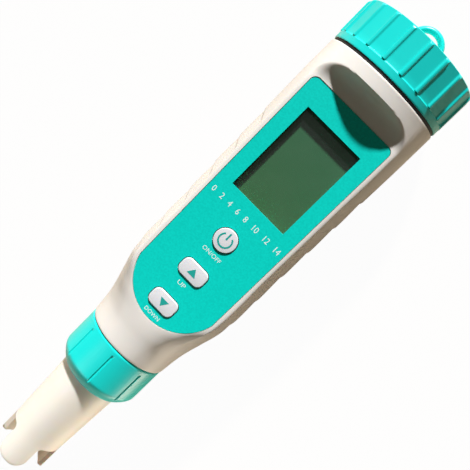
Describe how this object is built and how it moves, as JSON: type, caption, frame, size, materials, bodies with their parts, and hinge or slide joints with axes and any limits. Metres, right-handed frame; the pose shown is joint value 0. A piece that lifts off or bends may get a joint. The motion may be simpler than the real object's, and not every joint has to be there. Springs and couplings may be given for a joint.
{
  "type": "water quality tester",
  "caption": "Pen-type water quality tester with display, keys, ribbed battery cap with loop, lock collar and slotted electrode guard.",
  "frame": {"origin": "on the surface it rests on, under the middle of its length and width", "axes": "+Y along the pen to the battery cap, +Z out of the display, +X to the meter's right"},
  "size_m": [0.038, 0.1729, 0.038],
  "materials": {
    "shell_white": "satin warm white moulding",
    "teal_moulding": "satin teal moulding",
    "label_film": "fine-grained teal overlay film",
    "clear_lens": "clear polished",
    "display_glass": "polished display glass",
    "reflector_film": "grey-green reflector film",
    "frame_plastic": "satin white",
    "contact_rubber": "silicone strip",
    "board_laminate": "green solder mask",
    "chip_epoxy": "black moulding",
    "can_steel": "nickel plated can",
    "key_plastic": "satin pale lilac white",
    "plunger_plastic": "black moulding",
    "spring_steel": "nickel plated spring steel",
    "seal_rubber": "black rubber",
    "tube_white": "satin cream white",
    "core_resin": "black potting resin",
    "bulb_glass": "thin blown glass",
    "silver": "silver wire",
    "ceramic": "porous ceramic",
    "platinum": "polished platinum",
    "probe_steel": "stainless steel",
    "gold_contact": "gold plated pins"
  },
  "bodies": {
    "meter": {"housing": "shell_white", "face_label": "label_film", "display_lens": "clear_lens", "lcd_front_glass": "display_glass", "lcd_rear_glass": "display_glass", "lcd_reflector": "reflector_film", "lcd_frame": "frame_plastic", "elastomer_strip": "contact_rubber", "circuit_board": "board_laminate", "main_chip": "chip_epoxy", "analog_chip": "chip_epoxy", "crystal": "can_steel", "electrode_socket": "chip_epoxy", "power_switch": "chip_epoxy", "up_switch": "chip_epoxy", "down_switch": "chip_epoxy", "battery_holder": "frame_plastic", "battery_spring": "spring_steel", "button_cell_1": "can_steel", "button_cell_2": "can_steel", "button_cell_3": "can_steel", "button_cell_4": "can_steel", "negative_strip": "spring_steel", "positive_strip": "spring_steel"},
    "cap_ring": {"cap_seal": "seal_rubber"},
    "cap": {"battery_cap": "teal_moulding", "cap_contact": "spring_steel", "contact_screw": "spring_steel"},
    "electrode": {"electrode_tube": "tube_white", "electrode_gasket": "seal_rubber", "electrode_core": "core_resin", "reference_junction": "ceramic", "redox_pin": "platinum", "temperature_probe": "probe_steel", "conductivity_pins": "probe_steel", "plug_contacts": "gold_contact", "glass_bulb": "bulb_glass", "silver_wire": "silver"},
    "collar": {"lock_collar": "teal_moulding"},
    "power_button": {"power_key": "key_plastic", "power_plunger": "plunger_plastic"},
    "up_button": {"up_key": "key_plastic", "up_plunger": "plunger_plastic"},
    "down_button": {"down_key": "key_plastic", "down_plunger": "plunger_plastic"}
  },
  "joints": [
    {"name": "cap_rise", "type": "slide", "parent": "meter", "child": "cap_ring", "axis": [0, 1, 0], "range_m": [0, 0.00601]},
    {"name": "cap_turn", "type": "hinge", "parent": "cap_ring", "child": "cap", "pos_m": [0, 0.07045, 0.019], "axis": [0, 1, 0], "range_deg": [0, 1080]},
    {"name": "electrode_draw", "type": "slide", "parent": "meter", "child": "electrode", "axis": [0, -1, 0], "range_m": [0, 0.00451]},
    {"name": "collar_turn", "type": "hinge", "parent": "electrode", "child": "collar", "pos_m": [0, -0.04165, 0.0178], "axis": [0, -1, 0], "range_deg": [0, 1080]},
    {"name": "power_press", "type": "slide", "parent": "meter", "child": "power_button", "axis": [0, 0, -1], "range_m": [0, 0.0005], "stiffness_N_per_m": 2500, "springref_m": -0.0001},
    {"name": "up_press", "type": "slide", "parent": "meter", "child": "up_button", "axis": [0, 0, -1], "range_m": [0, 0.0005], "stiffness_N_per_m": 2500, "springref_m": -0.0001},
    {"name": "down_press", "type": "slide", "parent": "meter", "child": "down_button", "axis": [0, 0, -1], "range_m": [0, 0.0005], "stiffness_N_per_m": 2500, "springref_m": -0.0001}
  ],
  "couplings": [
    {"joint": "cap_rise", "follows": "cap_turn", "m_per_rad": 0.00031831},
    {"joint": "electrode_draw", "follows": "collar_turn", "m_per_rad": 0.00023873}
  ]
}
